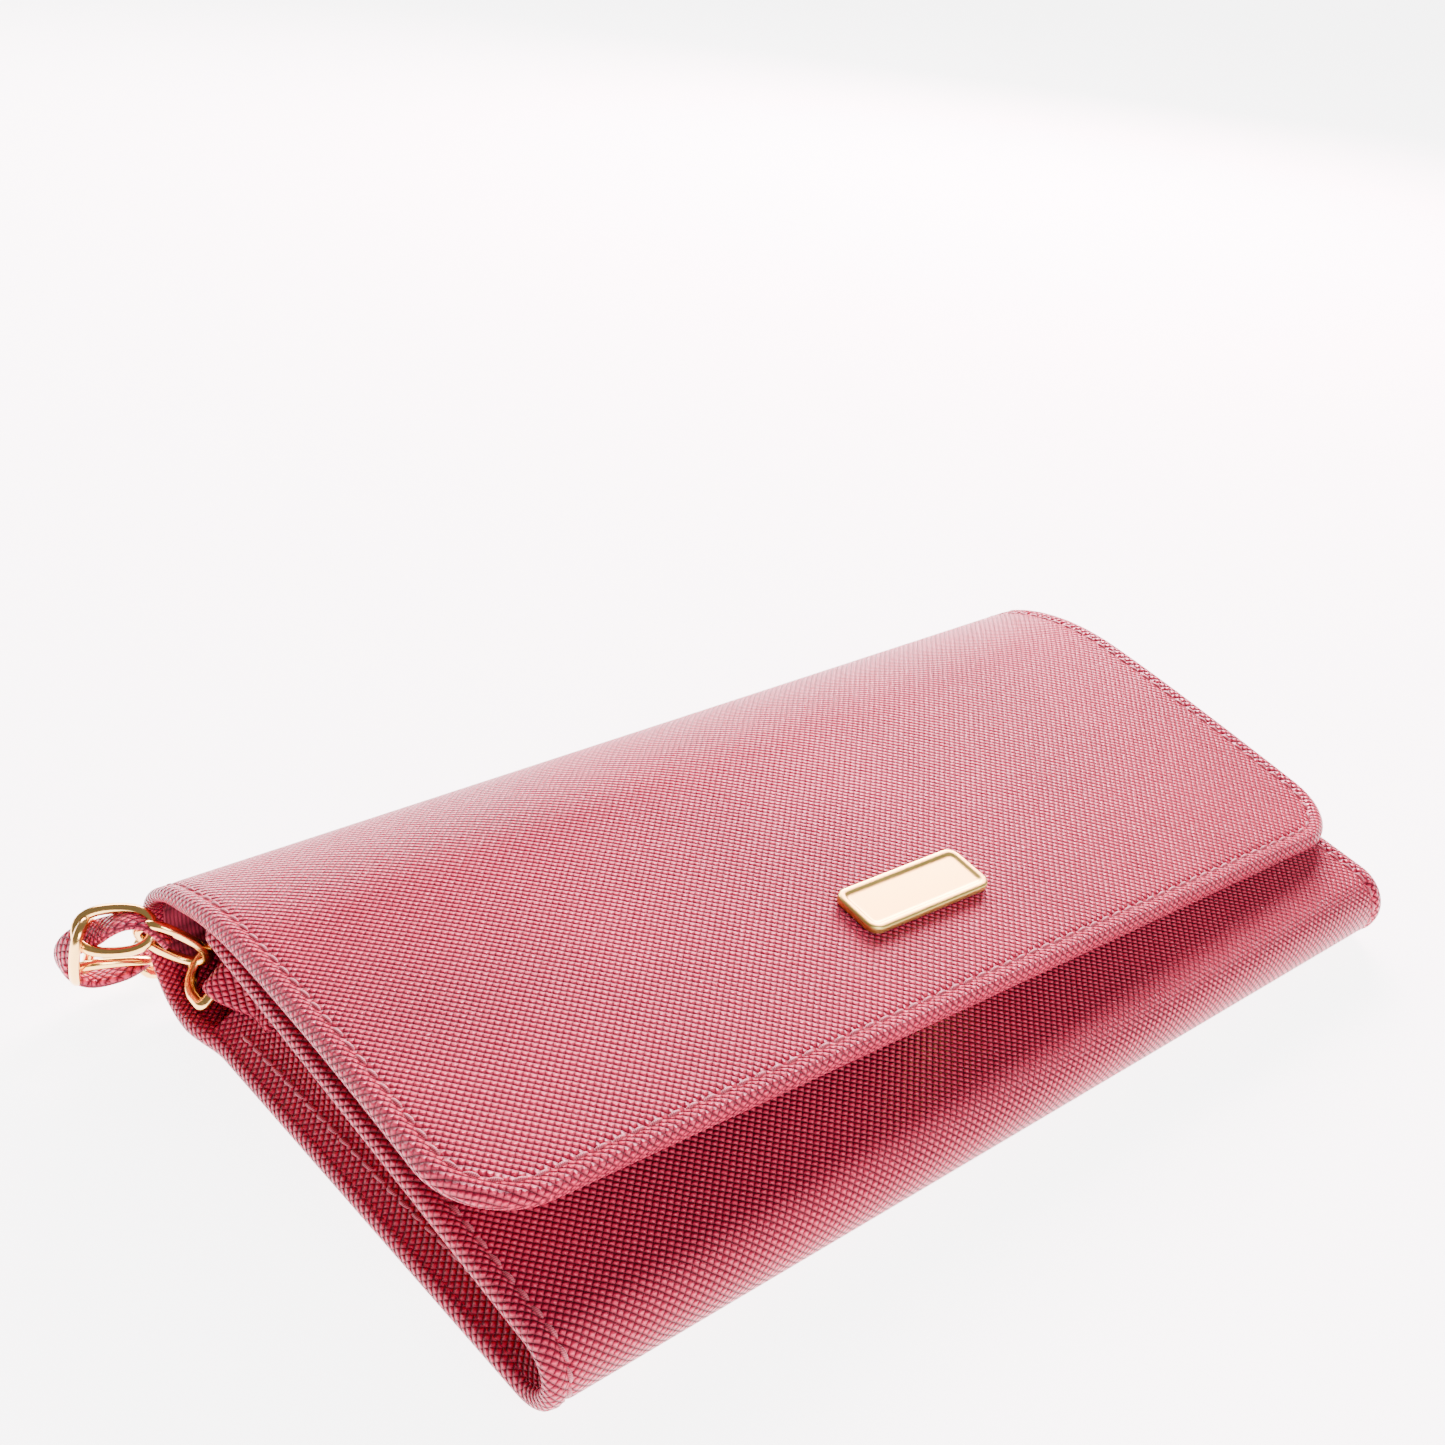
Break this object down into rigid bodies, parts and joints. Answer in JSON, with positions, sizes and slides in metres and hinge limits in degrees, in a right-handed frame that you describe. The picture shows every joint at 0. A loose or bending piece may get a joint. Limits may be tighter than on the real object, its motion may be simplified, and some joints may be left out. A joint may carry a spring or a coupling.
{
  "type": "wristlet wallet",
  "caption": "Long flap wallet in cross-grain leather: V-fold gussets, snap, card pockets, zip pocket and a chain wrist strap laced with leather.",
  "frame": {"origin": "under the middle of the wallet, on the back panel's outer face, with the wallet lying on its back (the free wrist strap left out)", "axes": "+X along the length towards the wallet's right, +Y from the bottom fold to the spine, +Z out of the front"},
  "size_m": [0.222, 0.1215, 0.0302],
  "materials": {
    "outer_leather": "cross-grain, semi-gloss",
    "gusset_leather": "cross-grain, semi-gloss",
    "tab_leather": "cross-grain",
    "card_leather": "cross-grain",
    "lining": "fine plain weave",
    "board": "pressed fibre",
    "zip_tape": "twill tape",
    "zip_metal": "gold plated, polished",
    "gold_fittings": "gold plated, polished",
    "gold_plate": "gold plated, polished",
    "strap": "gold plated chain with a leather lace"
  },
  "bodies": {
    "wallet_back": {"back_panel": "outer_leather", "bottom_fold": "outer_leather", "spine_fold_lower": "outer_leather", "back_board": "board", "back_lining": "lining", "card_slot_left_1": "card_leather", "card_slot_left_2": "card_leather", "card_slot_left_3": "card_leather", "card_slot_right_1": "card_leather", "card_slot_right_2": "card_leather", "card_slot_right_3": "card_leather", "gusset_left": "gusset_leather", "gusset_right": "gusset_leather", "ring_tab_left": "tab_leather", "ring_tab_right": "tab_leather", "wrist_strap": "strap"},
    "wallet_front": {"front_panel": "outer_leather", "front_board": "board", "front_lining": "lining", "snap_socket": "gold_fittings", "snap_socket_washer": "gold_fittings", "zip_pocket_wall": "lining", "zip_tape_front": "zip_tape", "zip_tape_back": "zip_tape", "zip_teeth_front": "zip_metal", "zip_teeth_back": "zip_metal", "zip_stop_left": "zip_metal", "zip_stop_right": "zip_metal"},
    "spine": {"spine_panel": "outer_leather", "spine_lining": "lining", "spine_fold_upper": "outer_leather"},
    "flap": {"flap_panel": "outer_leather", "flap_board": "board", "flap_lining": "lining", "snap_stud": "gold_fittings", "snap_stud_washer": "gold_fittings", "name_plate": "gold_plate", "plate_washer_left": "gold_fittings", "plate_washer_right": "gold_fittings"},
    "slider": {"zip_slider": "zip_metal"},
    "puller": {"zip_puller": "zip_metal"},
    "ring_left": {"d_ring_left": "gold_fittings"},
    "ring_right": {"d_ring_right": "gold_fittings"}
  },
  "joints": [
    {"name": "spine_hinge", "type": "hinge", "parent": "wallet_back", "child": "spine", "pos_m": [0, 0.047, 0.006], "axis": [-1, 0, 0], "range_deg": [0, 30], "deforming": ["spine_fold_lower"]},
    {"name": "flap_hinge", "type": "hinge", "parent": "spine", "child": "flap", "pos_m": [0, 0.047, 0.0224], "axis": [-1, 0, 0], "range_deg": [0, 150], "deforming": ["spine_fold_upper"]},
    {"name": "front_hinge", "type": "hinge", "parent": "wallet_back", "child": "wallet_front", "pos_m": [0, -0.0465, 0.0065], "axis": [1, 0, 0], "range_deg": [0, 8], "deforming": ["bottom_fold"]},
    {"name": "zip_slide", "type": "slide", "parent": "wallet_front", "child": "slider", "axis": [1, 0, 0], "range_m": [-0.132, 0]},
    {"name": "puller_hinge", "type": "hinge", "parent": "slider", "child": "puller", "pos_m": [0.066, 0.0321, 0.0159], "axis": [0, 0, 1], "range_deg": [0, 170]},
    {"name": "ring_left_hinge", "type": "hinge", "parent": "wallet_back", "child": "ring_left", "pos_m": [-0.0904, 0.038, 0.0086], "axis": [0.7469, 0, 0.6649], "range_deg": [-20, 20]},
    {"name": "ring_right_hinge", "type": "hinge", "parent": "wallet_back", "child": "ring_right", "pos_m": [0.0904, 0.038, 0.0086], "axis": [-0.7469, 0, 0.6649], "range_deg": [-20, 20]}
  ],
  "couplings": [
    {"joint": "spine_hinge", "follows": "flap_hinge", "ratio": 0.2},
    {"joint": "front_hinge", "follows": "flap_hinge", "ratio": 0.0533}
  ]
}
